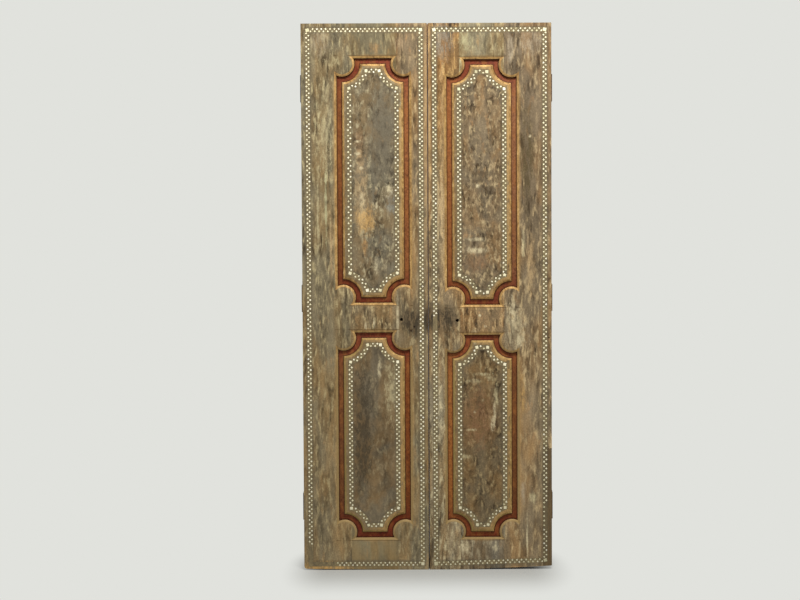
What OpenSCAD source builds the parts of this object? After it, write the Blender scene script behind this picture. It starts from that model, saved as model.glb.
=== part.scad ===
// Carved temple door: two joined leaves with raised panels, shell inlay and iron butt hinges.
// Millimetres. X runs to the right, Y from the front face to the back, Z up from the foot.

/* [Leaves] */
// Height of both leaves
door_h = 2050; // [1900:1:2300]
// Width of the left leaf
left_w = 472; // [440:1:540]
// Width of the right leaf
right_w = 462; // [440:1:540]
// Thickness of both leaves
leaf_t = 40; // [36:0.5:50]
// Gap between the leaves at the back
seam_gap = 0.2; // [0.2:0.1:6]
// How far each meeting edge is planed back at the front
seam_bevel = 2.5; // [2.2:0.1:6]

/* [Frames] */
// Outer stile of the left leaf, beside the openings
left_outer = 132; // [110:1:150]
// Meeting stile of the left leaf, beside the openings
left_meeting = 69; // [58:1:80]
// Outer stile of the right leaf, beside the openings
right_outer = 129; // [110:1:150]
// Meeting stile of the right leaf, beside the openings
right_meeting = 70; // [58:1:80]
// Height of both bottom rails
bottom_h = 122; // [100:1:160]
// Underside of the left lock rail
left_lock_z = 897; // [800:1:960]
// Height of the left lock rail
left_lock_h = 111; // [95:1:140]
// Underside of the right lock rail
right_lock_z = 886; // [800:1:960]
// Height of the right lock rail
right_lock_h = 113; // [95:1:140]
// Height of the left top rail
left_top_h = 129; // [100:1:160]
// Height of the right top rail
right_top_h = 134; // [100:1:160]
// How far the stiles reach past the openings to the rails' shoulders
shoulder = 48; // [30:1:56]

/* [Joints] */
// Thickness of the tenons
tenon_t = 12; // [8:0.5:16]
// Depth of the tenons' front cheek behind the face
tenon_d = 15; // [14:0.5:20]
// Length of the tenons in the outer stiles
outer_tenon = 62; // [40:1:90]
// Length of the tenons in the meeting stiles
meeting_tenon = 45; // [30:1:60]
// Wood between a tenon and the opening beside it
tenon_edge = 22; // [16:1:28]
// Wood between a tenon and the end of the leaf
tenon_end = 30; // [22:1:36]
// Space left past the end of each tenon
end_gap = 2; // [0.5:0.5:5]
// Radius of the pegs that lock the tenons
peg_r = 4.5; // [3:0.5:6]
// Distance of a peg from the tenon's upper or lower edge
peg_edge = 12; // [8:1:18]
// Wood left between the peg holes and the front face
peg_stop = 10; // [6:1:13]
// Clearance round a peg
peg_gap = 0.1; // [0.05:0.05:0.3]

/* [Carving] */
// Width of the sunk channel round each raised field
channel_w = 21; // [15:0.5:26]
// Radius of the lobes at the corners of the openings
lobe_r = 47; // [38:1:54]
// Depth of the channel's floor behind the face
floor_d = 13; // [10:0.5:16]
// Width of the gilded chamfer on the frame
chamfer_w = 9; // [5:0.5:11]
// Depth of the gilded chamfer on the frame
chamfer_d = 4.5; // [2:0.5:7]
// Thickness of a panel at its edges
tongue_t = 9; // [7:0.5:12]
// How far the frame's groove goes in past the channel
tongue_reach = 11; // [7:0.5:14]
// Space left for the panels to swell in the groove
panel_gap = 1.5; // [0.5:0.5:4]
// Depth of the raised fields behind the face of the frame
field_d = 2; // [1:0.5:4]
// Width of the gilded bevel round a field
bevel_w = 8.5; // [4:0.5:11]
// Depth of the gilded bevel round a field
bevel_d = 4.5; // [2:0.5:6]

/* [Inlay] */
// Width of the grooves for the shell bands
band_w = 17.5; // [17:0.5:20]
// Depth of the grooves for the shell bands
groove_d = 2.5; // [1.5:0.1:4]
// Thickness of the mastic that beds the shell
mastic_t = 1; // [0.5:0.1:1.4]
// Clearance of the mastic in its groove
mastic_gap = 0.1; // [0.05:0.05:0.3]
// Centre of the border band from the top and side edges
border_in = 25; // [20:0.5:30]
// Centre of the border band from the foot
foot_in = 22; // [18:0.5:30]
// Rise of the left border's lower run toward its outer edge
left_border_rise = 0; // [0:0.5:20]
// Rise of the right border's lower run toward its outer edge
right_border_rise = 12; // [0:0.5:20]
// Centre of a panel's shell ring from the edge of its field
ring_in = 26; // [20:0.5:32]
// Half the diagonal of a shell chip
chip_r = 4; // [3:0.1:5]
// Distance from chip to chip in one row of the left border
left_border_pitch = 16.4; // [14:0.2:24]
// Distance from chip to chip in one row of the right border
right_border_pitch = 17.2; // [14:0.2:24]
// Distance from chip to chip in one row of the left upper ring
left_upper_pitch = 20.2; // [14:0.2:24]
// Distance from chip to chip in one row of the right upper ring
right_upper_pitch = 16.8; // [14:0.2:24]
// Distance from chip to chip in one row of the left lower ring
left_lower_pitch = 17.6; // [14:0.2:24]
// Distance from chip to chip in one row of the right lower ring
right_lower_pitch = 18; // [14:0.2:24]
// Distance between the two rows of chips
row_gap = 8.5; // [6:0.5:8.5]
// Side of the square shells at the corners
corner_chip = 12.5; // [9:0.5:14]
// Space between a square shell and the first chip
corner_gap = 1.5; // [0.5:0.5:4]

/* [Wear] */
// Rise of the left leaf's worn foot at its outer edge
left_foot_rise = 5; // [1:0.5:16]
// Rise of the right leaf's worn foot at its outer edge
right_foot_rise = 13; // [1:0.5:16]
// Length of the worn foot from the outer edge
foot_run = 330; // [250:1:340]
// Radius of the left leaf's worn lower corner
left_foot_round = 10; // [2:0.5:14]
// Radius of the right leaf's worn lower corner
right_foot_round = 3; // [2:0.5:14]
// Length of the left lower border that has lost its chips
left_bare_foot = 95; // [0:1:200]
// Height of the left outer border that has lost its chips at the foot
left_bare_edge = 72; // [0:1:200]
// Lower end of the bare stretch beside the right pull hole
right_bare_z = 907; // [800:1:1000]
// Height of the bare stretch beside the right pull hole
right_bare_h = 52; // [0:1:120]
// Lower end of the stretch of the patch with one row of chips left
patch_bare_z = 150; // [60:1:300]
// Height of the stretch of the patch with one row of chips left
patch_bare_h = 100; // [0:1:140]
// Width of the strip let into the right leaf's outer edge
patch_w = 34; // [34:0.5:44]
// Height of the strip let into the right leaf's outer edge
patch_h = 457; // [300:1:600]
// Thickness of the strip let into the right leaf's outer edge
patch_t = 8; // [5:0.5:9]
// How far the strip sits behind the face
patch_set = 0.8; // [0.2:0.1:1.4]

/* [Pull holes] */
// Radius of the holes that held the lost pulls
pull_r = 6; // [4:0.5:8]
// Depth of the holes that held the lost pulls
pull_d = 34; // [20:1:36]
// Left pull hole from the meeting edge
left_pull_in = 101; // [85:1:106]
// Right pull hole from the meeting edge
right_pull_in = 108; // [85:1:108]
// Height of the left pull hole
left_pull_z = 945; // [900:1:990]
// Height of the right pull hole
right_pull_z = 941; // [900:1:990]

/* [Hinges] */
// Middle of the upper and lower hinges from the ends of the leaf
hinge_end = 240; // [150:1:400]
// Height of a hinge
flap_h = 100; // [80:1:140]
// Width of a flap across the thickness of the leaf
flap_w = 30; // [24:0.5:31]
// Thickness of a flap
flap_t = 2.5; // [2:0.5:4]
// Gap between the leaf and its jamb
edge_gap = 1; // [1:0.5:4]
// Outer radius of the knuckles
knuckle_r = 4.5; // [4:0.5:8]
// Clearance between the back of the leaf and the knuckles
knuckle_out = 0.5; // [0.4:0.1:2]
// Space between one knuckle and the next
knuckle_gap = 0.3; // [0.2:0.1:1]
// Number of knuckles in a hinge
knuckles = 5; // [3:2:7]
// Radius of the hinge pins
pin_r = 2.5; // [2:0.5:4]
// Radial clearance of the pins in the knuckles
pin_gap = 0.08; // [0.02:0.01:0.1]
// Radius of the heads at the ends of a pin
pin_head_r = 4; // [3:0.5:6]
// Height of the heads at the ends of a pin
pin_head_h = 2.5; // [2:0.5:6]
// Radius of a screw's shank
screw_r = 2.3; // [1.5:0.1:3]
// Radius of a screw's head
screw_head_r = 4.6; // [3.5:0.1:6]
// Height of a screw's head
screw_head_h = 1.9; // [1.5:0.1:2.8]
// Length of a screw
screw_l = 25; // [15:1:40]
// Clearance round a screw
screw_gap = 0.1; // [0.05:0.05:0.3]
// Distance between the screw holes across a flap
hole_dy = 14; // [12:0.5:16]
// Distance between the screw holes along a flap
hole_dz = 64; // [40:1:80]

/* [Hidden] */
$fn = 72;
left = 0;
right = 1;
lower = 0;
upper = 1;
bottom = 0;
lock = 1;
top = 2;
over = 1;
both_rows = 2;

leaf_w = [left_w, right_w];
outer = [left_outer, right_outer];
meeting = [left_meeting, right_meeting];
lock_z = [left_lock_z, right_lock_z];
lock_h = [left_lock_h, right_lock_h];
top_h = [left_top_h, right_top_h];
border_rise = [left_border_rise, right_border_rise];
foot_rise = [left_foot_rise, right_foot_rise];
foot_round = [left_foot_round, right_foot_round];
border_pitch = [left_border_pitch, right_border_pitch];
ring_pitch = [
    [left_lower_pitch, left_upper_pitch],
    [right_lower_pitch, right_upper_pitch]
];
pull_in = [left_pull_in, right_pull_in];
pull_z = [left_pull_z, right_pull_z];

door_w = left_w + seam_gap + right_w;
axis_u = -edge_gap / 2;
axis_d = leaf_t + knuckle_out + knuckle_r;
front_y = -(axis_d + knuckle_r) / 2;
hinge_zs = [hinge_end, door_h / 2, door_h - hinge_end];
knuckle_h = flap_h / knuckles;
field_r = lobe_r + channel_w;
lobe_reach = channel_w + lobe_r;
chamfer_slope = chamfer_w / chamfer_d;
bevel_slope = bevel_w / bevel_d;

WOOD = [0.50, 0.42, 0.30];
SHELL = [0.93, 0.91, 0.82];
MASTIC = [0.20, 0.17, 0.13];
IRON = [0.25, 0.24, 0.23];

// Bare stretches of the border of each leaf, as run, start and end along it, and row
bare = [
    [
        [0, 0, left_bare_foot, both_rows],
        [3, door_h - border_in - foot_in - left_bare_edge, door_h, both_rows]
    ],
    [
        [1, right_bare_z - foot_in, right_bare_z + right_bare_h - foot_in, both_rows],
        [
            3,
            door_h - border_in - patch_bare_z - patch_bare_h,
            door_h - border_in - patch_bare_z,
            0
        ]
    ]
];

// Places of the shoulders of a leaf's rails, from its outer edge
function outer_shoulder(side) = outer[side] + shoulder;
function meeting_shoulder(side) = leaf_w[side] - meeting[side] - shoulder;

// Height range of an opening, and the box of the raised field inside its channel
function opening_z(side, level) = level == lower
    ? [bottom_h, lock_z[side]]
    : [lock_z[side] + lock_h[side], door_h - top_h[side]];
function field_box(side, level) = [
    outer[side] + channel_w,
    opening_z(side, level)[0] + channel_w,
    leaf_w[side] - meeting[side] - channel_w,
    opening_z(side, level)[1] - channel_w
];
function corners(box) = [
    [box[0], box[1]],
    [box[2], box[1]],
    [box[2], box[3]],
    [box[0], box[3]]
];

// Height range of a rail with its share of the lobes, and of its tenons
function rail_z(side, rail) = [
    [0, bottom_h + lobe_reach],
    [lock_z[side] - lobe_reach, lock_z[side] + lock_h[side] + lobe_reach],
    [door_h - top_h[side] - lobe_reach, door_h]
][rail];
function tenon_z(side, rail) = [
    [tenon_end, bottom_h - tenon_edge],
    [lock_z[side] + tenon_edge, lock_z[side] + lock_h[side] - tenon_edge],
    [door_h - top_h[side] + tenon_edge, door_h - tenon_end]
][rail];

// Corners of the border band, grown outward by a distance
function border_foot(side, u) =
    foot_in + border_rise[side] * (leaf_w[side] - border_in - u) / (leaf_w[side] - 2 * border_in);
function border_quad(side, grow) = [
    [border_in - grow, border_foot(side, border_in - grow) - grow],
    [leaf_w[side] - border_in + grow, border_foot(side, leaf_w[side] - border_in + grow) - grow],
    [leaf_w[side] - border_in + grow, door_h - border_in + grow],
    [border_in - grow, door_h - border_in + grow]
];
function is_bare(side, run, at, row) = len([
    for (b = bare[side])
        if (b[0] == run && at >= b[1] && at <= b[2] && (b[3] == both_rows || b[3] == row)) 1
]) > 0;

// Sets a leaf, drawn from its outer edge inward and from its face backward, in its place
module leaf(side) {
    translate([(side - 0.5) * door_w, front_y, 0])
        mirror([side, 0, 0])
            children();
}

// Gives a flat shape of the leaf's face a depth range
module slab(from, to) {
    translate([0, to, 0])
        rotate([90, 0, 0])
            linear_extrude(to - from)
                children();
}

module grown(box, grow) {
    translate([box[0] - grow, box[1] - grow])
        square([box[2] - box[0] + 2 * grow, box[3] - box[1] + 2 * grow]);
}

// Outline of a field with hollow corners, grown outward by a distance
module outline(box, grow) {
    difference() {
        grown(box, grow);
        for (c = corners(box))
            translate(c)
                circle(r = field_r - grow);
    }
}

// Box with sloping sides, grown by different distances at its two depths
module flare(box, from, grow_from, to, grow_to) {
    intersection() {
        translate([0, 0, box[1] - lobe_r])
            linear_extrude(box[3] - box[1] + 2 * lobe_r)
                polygon([
                    [box[0] - grow_from, from],
                    [box[2] + grow_from, from],
                    [box[2] + grow_to, to],
                    [box[0] - grow_to, to]
                ]);
        translate([box[0] - lobe_r, 0, 0])
            rotate([90, 0, 90])
                linear_extrude(box[2] - box[0] + 2 * lobe_r)
                    polygon([
                        [from, box[1] - grow_from],
                        [from, box[3] + grow_from],
                        [to, box[3] + grow_to],
                        [to, box[1] - grow_to]
                    ]);
    }
}

module corner_discs(box, from, r_from, to, r_to) {
    for (c = corners(box))
        translate([c[0], to, c[1]])
            rotate([90, 0, 0])
                cylinder(h = to - from, r1 = r_to, r2 = r_from);
}

// Squares outward of the lobes' centres, where the face runs on unbroken behind each lobe
module corner_backs(box) {
    for (i = [0 : 3])
        translate(corners(box)[i])
            rotate(180 + 90 * i)
                square(lobe_r);
}

// Lobed and chamfered opening in the face, the groove for the panel and the plain opening behind
module opening_void(box) {
    difference() {
        union() {
            slab(-over, floor_d)
                grown(box, channel_w);
            flare(box, -over, channel_w + chamfer_w + over * chamfer_slope, chamfer_d, channel_w);
        }
        corner_discs(box, chamfer_d, lobe_r, floor_d + over, lobe_r);
        corner_discs(box, -2 * over, lobe_r - chamfer_w - 2 * over * chamfer_slope, chamfer_d, lobe_r);
        slab(-2 * over, floor_d + over)
            corner_backs(box);
    }
    slab(floor_d, floor_d + tongue_t)
        grown(box, channel_w + tongue_reach);
    slab(floor_d, leaf_t + over)
        grown(box, channel_w);
}

module border_band(side, half) {
    difference() {
        polygon(border_quad(side, half));
        polygon(border_quad(side, -half));
    }
}

module ring_band(box, half) {
    difference() {
        outline(box, half - ring_in);
        outline(box, -half - ring_in);
    }
}

// Worn slope of the foot and the rounded outer corner
module foot_wear(side) {
    rise = foot_rise[side];
    round_r = foot_round[side];
    slab(-over, leaf_t + over) {
        polygon([
            [-over, -over],
            [foot_run, -over],
            [foot_run, 0],
            [-over, rise * (foot_run + over) / foot_run]
        ]);
        difference() {
            translate([-over, -over])
                square([round_r + over, rise + round_r + over]);
            translate([round_r, rise + round_r])
                circle(r = round_r);
        }
    }
}

module carving(side) {
    opening_void(field_box(side, lower));
    opening_void(field_box(side, upper));
    slab(-over, groove_d)
        border_band(side, band_w / 2);
    foot_wear(side);
}

// Both tenons of a rail as one bar, made longer for the mortises
module tenon_bar(side, rail, extra) {
    z = tenon_z(side, rail);
    start = outer_shoulder(side) - outer_tenon - extra;
    end = meeting_shoulder(side) + meeting_tenon + extra;
    translate([start, tenon_d, z[0]])
        cube([end - start, tenon_t, z[1] - z[0]]);
}

module pegs(side, r) {
    for (rail = [bottom, lock, top])
        for (u = [outer_shoulder(side) - outer_tenon / 2, meeting_shoulder(side) + meeting_tenon / 2])
            for (z = [tenon_z(side, rail)[0] + peg_edge, tenon_z(side, rail)[1] - peg_edge])
                translate([u, leaf_t, z])
                    rotate([90, 0, 0])
                        cylinder(h = leaf_t - peg_stop, r = r);
}

module pull_hole(side) {
    translate([leaf_w[side] - pull_in[side], pull_d, pull_z[side]])
        rotate([90, 0, 0])
            cylinder(h = pull_d + over, r = pull_r);
}

module patch_recess() {
    translate([-over, -over, -over])
        cube([patch_w + over, patch_t + over, patch_h + over]);
}

module outer_stile(side) {
    difference() {
        cube([outer_shoulder(side), leaf_t, door_h]);
        carving(side);
        for (rail = [bottom, lock, top])
            tenon_bar(side, rail, end_gap);
        pegs(side, peg_r + peg_gap);
        at_hinges() {
            translate([-over, leaf_t - flap_w, 0])
                cube([flap_t + over, flap_w + over, flap_h]);
            screw_shapes(screw_gap, screw_l);
        }
        if (side == right)
            patch_recess();
    }
}

module meeting_stile(side) {
    start = meeting_shoulder(side);
    end = leaf_w[side];
    difference() {
        linear_extrude(door_h)
            polygon([[start, 0], [end - seam_bevel, 0], [end, leaf_t], [start, leaf_t]]);
        carving(side);
        for (rail = [bottom, lock, top])
            tenon_bar(side, rail, end_gap);
        pegs(side, peg_r + peg_gap);
        pull_hole(side);
    }
}

module rail(side, which) {
    start = outer_shoulder(side);
    z = rail_z(side, which);
    difference() {
        union() {
            difference() {
                translate([start, 0, z[0]])
                    cube([meeting_shoulder(side) - start, leaf_t, z[1] - z[0]]);
                carving(side);
            }
            tenon_bar(side, which, 0);
        }
        pegs(side, peg_r + peg_gap);
        pull_hole(side);
    }
}

// Raised field with gilded bevels and hollow corners on a thinner panel
module panel(side, level) {
    box = field_box(side, level);
    bevel_end = field_d + bevel_d;
    slab(floor_d, floor_d + tongue_t)
        grown(box, channel_w + tongue_reach - panel_gap);
    difference() {
        union() {
            flare(box, field_d, -bevel_w, bevel_end, 0);
            slab(bevel_end, floor_d + over)
                grown(box, 0);
        }
        corner_discs(box, field_d - over, field_r + bevel_w + over * bevel_slope, bevel_end, field_r);
        corner_discs(box, bevel_end, field_r, floor_d, field_r);
        slab(field_d - over, field_d + groove_d)
            ring_band(box, band_w / 2);
    }
}

module mastic(depth) {
    slab(depth + groove_d - mastic_t, depth + groove_d)
        children();
}

module border_mastic(side) {
    mastic(0)
        border_band(side, band_w / 2 - mastic_gap);
}

module ring_mastic(side, level) {
    mastic(field_d)
        ring_band(field_box(side, level), band_w / 2 - mastic_gap);
}

module shells(depth) {
    slab(depth, depth + groove_d - mastic_t)
        children();
}

module chip() {
    circle(r = chip_r, $fn = 4);
}

module corner_square() {
    square(corner_chip, center = true);
}

// Two staggered rows of chips along a straight run, drawn along X, of which a border run can miss some
module chip_run(length, pitch, side, run) {
    keep = corner_chip / 2 + corner_gap;
    count = 2 * round((length - 2 * keep) / pitch);
    step = (length - 2 * keep) / count;
    for (i = [0 : 1 : count - 1]) {
        at = keep + (i + 0.5) * step;
        row = i % 2;
        if (run < 0 || !is_bare(side, run, at, row))
            translate([at, (row - 0.5) * row_gap])
                chip();
    }
}

module border_shells(side) {
    quad = border_quad(side, 0);
    for (run = [0 : 3]) {
        way = quad[(run + 1) % 4] - quad[run];
        translate(quad[run])
            rotate(atan2(way[1], way[0]))
                chip_run(norm(way), border_pitch[side], side, run);
        if (!is_bare(side, run, 0, 0))
            translate(quad[run])
                corner_square();
    }
}

// Two rows of chips along the hollow corner of a ring, between two angles
module chip_arc(r, from, to, pitch) {
    keep = corner_chip / sqrt(2) + corner_gap;
    length = r * (to - from) * PI / 180 - 2 * keep;
    count = 2 * round(length / pitch);
    step = (length / count) / r * 180 / PI;
    for (i = [0 : 1 : count - 1])
        rotate((from + to) / 2 + (i + 0.5 - count / 2) * step)
            translate([r + (i % 2 - 0.5) * row_gap, 0])
                chip();
}

// Four hollow corners of a ring, with a straight run and its squares wherever two corners don't meet
module ring_shells(side, level) {
    box = field_box(side, level);
    pitch = ring_pitch[side][level];
    arc_r = field_r + ring_in;
    run_start = sqrt(arc_r * arc_r - ring_in * ring_in);
    sizes = [box[2] - box[0], box[3] - box[1]];
    for (i = [0 : 3]) {
        half_along = sizes[i % 2] / 2;
        half_up = sizes[(i + 1) % 2] / 2;
        arc_from = acos(min(run_start, half_along) / arc_r);
        arc_to = asin(min(run_start, half_up) / arc_r);
        translate(corners(box)[i])
            rotate(90 * i) {
                chip_arc(arc_r, arc_from, arc_to, pitch);
                if (half_along > run_start)
                    translate([run_start, ring_in]) {
                        chip_run(2 * (half_along - run_start), pitch, side, -1);
                        corner_square();
                    }
                if (half_up > run_start)
                    translate([ring_in, run_start])
                        corner_square();
            }
    }
}

// Repeats a shape of one hinge, drawn upward from its lower end, at the hinges of a leaf
module at_hinges() {
    for (z = hinge_zs)
        translate([0, 0, z - flap_h / 2])
            children();
}

module at_screws() {
    for (d = [-0.5, 0.5])
        for (z = [-0.5, 0.5])
            translate([0, leaf_t - flap_w / 2 + d * hole_dy, flap_h / 2 + z * hole_dz])
                children();
}

// Countersunk screws of a flap, pointing into the leaf from its outer edge
module screw_shapes(gap, length) {
    at_screws()
        rotate([0, 90, 0])
            rotate_extrude()
                polygon([
                    [0, 0],
                    [screw_head_r + gap, 0],
                    [screw_r + gap, screw_head_h],
                    [screw_r + gap, length],
                    [0, length]
                ]);
}

// One flap with its own knuckles, standing from u inward by its thickness
module flap(u, first_knuckle) {
    difference() {
        union() {
            translate([u, leaf_t - flap_w, 0])
                cube([flap_t, flap_w, flap_h]);
            for (i = [first_knuckle : 2 : knuckles - 1])
                translate([0, 0, i * knuckle_h + knuckle_gap / 2]) {
                    translate([u, leaf_t, 0])
                        cube([flap_t, axis_d - leaf_t, knuckle_h - knuckle_gap]);
                    translate([axis_u, axis_d, 0])
                        cylinder(h = knuckle_h - knuckle_gap, r = knuckle_r);
                }
        }
        translate([axis_u, axis_d, -over])
            cylinder(h = flap_h + 2 * over, r = pin_r + pin_gap);
    }
}

module leaf_flaps() {
    at_hinges()
        difference() {
            flap(0, 1);
            screw_shapes(screw_gap, screw_l);
        }
}

// The holes of the fixed flaps are sunk on the side toward the leaf
module jamb_flaps() {
    at_hinges()
        difference() {
            flap(-edge_gap - flap_t, 0);
            translate([-edge_gap, 0, 0])
                mirror([1, 0, 0])
                    screw_shapes(screw_gap, screw_l);
        }
}

module flap_screws() {
    at_hinges()
        screw_shapes(0, screw_l);
}

// A pin with a head riveted over at each end
module hinge_pins() {
    at_hinges()
        translate([axis_u, axis_d, 0]) {
            cylinder(h = flap_h, r = pin_r);
            translate([0, 0, knuckle_gap / 2 - pin_head_h])
                cylinder(h = pin_head_h, r = pin_head_r);
            translate([0, 0, flap_h - knuckle_gap / 2])
                cylinder(h = pin_head_h, r = pin_head_r);
        }
}

module edge_patch() {
    difference() {
        translate([0, patch_set, 0])
            cube([patch_w, patch_t - patch_set, patch_h]);
        slab(-over, groove_d)
            border_band(right, band_w / 2);
        foot_wear(right);
    }
}

module left_outer_stile() { color(WOOD) leaf(left) outer_stile(left); }
module left_meeting_stile() { color(WOOD) leaf(left) meeting_stile(left); }
module left_top_rail() { color(WOOD) leaf(left) rail(left, top); }
module left_lock_rail() { color(WOOD) leaf(left) rail(left, lock); }
module left_bottom_rail() { color(WOOD) leaf(left) rail(left, bottom); }
module left_upper_panel() { color(WOOD) leaf(left) panel(left, upper); }
module left_lower_panel() { color(WOOD) leaf(left) panel(left, lower); }
module left_tenon_pegs() { color(WOOD) leaf(left) pegs(left, peg_r); }
module left_border_mastic() { color(MASTIC) leaf(left) border_mastic(left); }
module left_border_shells() { color(SHELL) leaf(left) shells(0) border_shells(left); }
module left_upper_mastic() { color(MASTIC) leaf(left) ring_mastic(left, upper); }
module left_upper_shells() { color(SHELL) leaf(left) shells(field_d) ring_shells(left, upper); }
module left_lower_mastic() { color(MASTIC) leaf(left) ring_mastic(left, lower); }
module left_lower_shells() { color(SHELL) leaf(left) shells(field_d) ring_shells(left, lower); }
module left_leaf_flaps() { color(IRON) leaf(left) leaf_flaps(); }
module left_flap_screws() { color(IRON) leaf(left) flap_screws(); }
module left_jamb_flaps() { color(IRON) leaf(left) jamb_flaps(); }
module left_hinge_pins() { color(IRON) leaf(left) hinge_pins(); }

module right_outer_stile() { color(WOOD) leaf(right) outer_stile(right); }
module right_meeting_stile() { color(WOOD) leaf(right) meeting_stile(right); }
module right_top_rail() { color(WOOD) leaf(right) rail(right, top); }
module right_lock_rail() { color(WOOD) leaf(right) rail(right, lock); }
module right_bottom_rail() { color(WOOD) leaf(right) rail(right, bottom); }
module right_upper_panel() { color(WOOD) leaf(right) panel(right, upper); }
module right_lower_panel() { color(WOOD) leaf(right) panel(right, lower); }
module right_tenon_pegs() { color(WOOD) leaf(right) pegs(right, peg_r); }
module right_edge_patch() { color(WOOD) leaf(right) edge_patch(); }
module right_border_mastic() { color(MASTIC) leaf(right) border_mastic(right); }
module right_border_shells() { color(SHELL) leaf(right) shells(0) border_shells(right); }
module right_upper_mastic() { color(MASTIC) leaf(right) ring_mastic(right, upper); }
module right_upper_shells() { color(SHELL) leaf(right) shells(field_d) ring_shells(right, upper); }
module right_lower_mastic() { color(MASTIC) leaf(right) ring_mastic(right, lower); }
module right_lower_shells() { color(SHELL) leaf(right) shells(field_d) ring_shells(right, lower); }
module right_leaf_flaps() { color(IRON) leaf(right) leaf_flaps(); }
module right_flap_screws() { color(IRON) leaf(right) flap_screws(); }
module right_jamb_flaps() { color(IRON) leaf(right) jamb_flaps(); }
module right_hinge_pins() { color(IRON) leaf(right) hinge_pins(); }

left_outer_stile();
left_meeting_stile();
left_top_rail();
left_lock_rail();
left_bottom_rail();
left_upper_panel();
left_lower_panel();
left_tenon_pegs();
left_border_mastic();
left_border_shells();
left_upper_mastic();
left_upper_shells();
left_lower_mastic();
left_lower_shells();
left_leaf_flaps();
left_flap_screws();
left_jamb_flaps();
left_hinge_pins();
right_outer_stile();
right_meeting_stile();
right_top_rail();
right_lock_rail();
right_bottom_rail();
right_upper_panel();
right_lower_panel();
right_tenon_pegs();
right_edge_patch();
right_border_mastic();
right_border_shells();
right_upper_mastic();
right_upper_shells();
right_lower_mastic();
right_lower_shells();
right_leaf_flaps();
right_flap_screws();
right_jamb_flaps();
right_hinge_pins();
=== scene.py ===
"""Dresses the carved temple door: worn paint, gilding, red lacquer, shell inlay and iron hinges."""

import logging
import math
import random
from dataclasses import dataclass, field
from enum import Enum
from typing import Any

import bmesh
import bpy
from mathutils import Matrix, Vector


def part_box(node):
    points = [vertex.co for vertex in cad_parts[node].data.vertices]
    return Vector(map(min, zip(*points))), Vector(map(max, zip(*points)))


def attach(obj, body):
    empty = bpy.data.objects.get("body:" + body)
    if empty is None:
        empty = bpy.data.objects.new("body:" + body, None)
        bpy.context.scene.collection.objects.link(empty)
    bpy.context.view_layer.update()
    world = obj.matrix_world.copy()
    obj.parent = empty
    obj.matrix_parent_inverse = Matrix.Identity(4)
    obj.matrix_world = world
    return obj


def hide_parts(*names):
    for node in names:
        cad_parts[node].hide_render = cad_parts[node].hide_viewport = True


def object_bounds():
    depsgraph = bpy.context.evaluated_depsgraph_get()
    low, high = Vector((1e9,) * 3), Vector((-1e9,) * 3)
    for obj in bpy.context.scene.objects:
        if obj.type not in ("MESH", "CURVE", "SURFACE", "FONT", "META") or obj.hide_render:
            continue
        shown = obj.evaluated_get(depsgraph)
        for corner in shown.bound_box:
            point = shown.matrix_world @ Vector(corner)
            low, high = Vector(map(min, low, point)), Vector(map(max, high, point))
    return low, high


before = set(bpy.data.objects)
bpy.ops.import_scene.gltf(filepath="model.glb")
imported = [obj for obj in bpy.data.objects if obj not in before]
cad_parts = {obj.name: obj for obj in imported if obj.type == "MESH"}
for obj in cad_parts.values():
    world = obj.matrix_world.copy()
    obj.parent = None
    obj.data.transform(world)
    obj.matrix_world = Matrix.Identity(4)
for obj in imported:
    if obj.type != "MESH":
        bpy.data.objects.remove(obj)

LOG = logging.getLogger("temple_door")
MM = 0.001
CAD_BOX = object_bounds()
# Settings that many nodes share: a range with eased ends, a mix of two colours and the common sums
EASED = {"interpolation_type": "SMOOTHSTEP"}
COLOURS = {"out": 2, "data_type": "RGBA"}
TIMES = {"operation": "MULTIPLY"}
TIMES_PLUS = {"operation": "MULTIPLY_ADD"}
MINUS = {"operation": "SUBTRACT"}
LARGER = {"operation": "MAXIMUM"}
UNSIGNED = {"operation": "ABSOLUTE"}
LENGTH = {"out": "Value", "operation": "LENGTH"}
# Points of a CAD mesh nearer than this are one, in metres
MERGE = 2e-6
# Edges sharper than these are worn round, or shaded as edges, in degrees
WORN_ANGLE = 32.0
SHADED_ANGLE = 38.0
# An edge this near to the leaf's outline is part of its rim, in millimetres
RIM = 4.0

Socket = bpy.types.NodeSocket
Sockets = dict[str, Socket]


class Side(Enum):
    """The two leaves of the door, seen from the front."""

    LEFT = "left"
    RIGHT = "right"


class Kind(Enum):
    """The two sorts of board, which carry their carving at different depths."""

    FRAME = "frame"
    PANEL = "panel"


def paint(code: str) -> tuple[float, float, float, float]:
    """Turns an sRGB hex colour into the linear colour that a shader takes.

    Args:
        code: Six hex digits, red first.

    Returns:
        Linear red, green, blue and an alpha of one.
    """
    parts = [int(code[i:i + 2], 16) / 255.0 for i in (0, 2, 4)]
    linear = [c / 12.92 if c <= 0.04045 else ((c + 0.055) / 1.055) ** 2.4 for c in parts]
    return (linear[0], linear[1], linear[2], 1.0)


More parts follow.
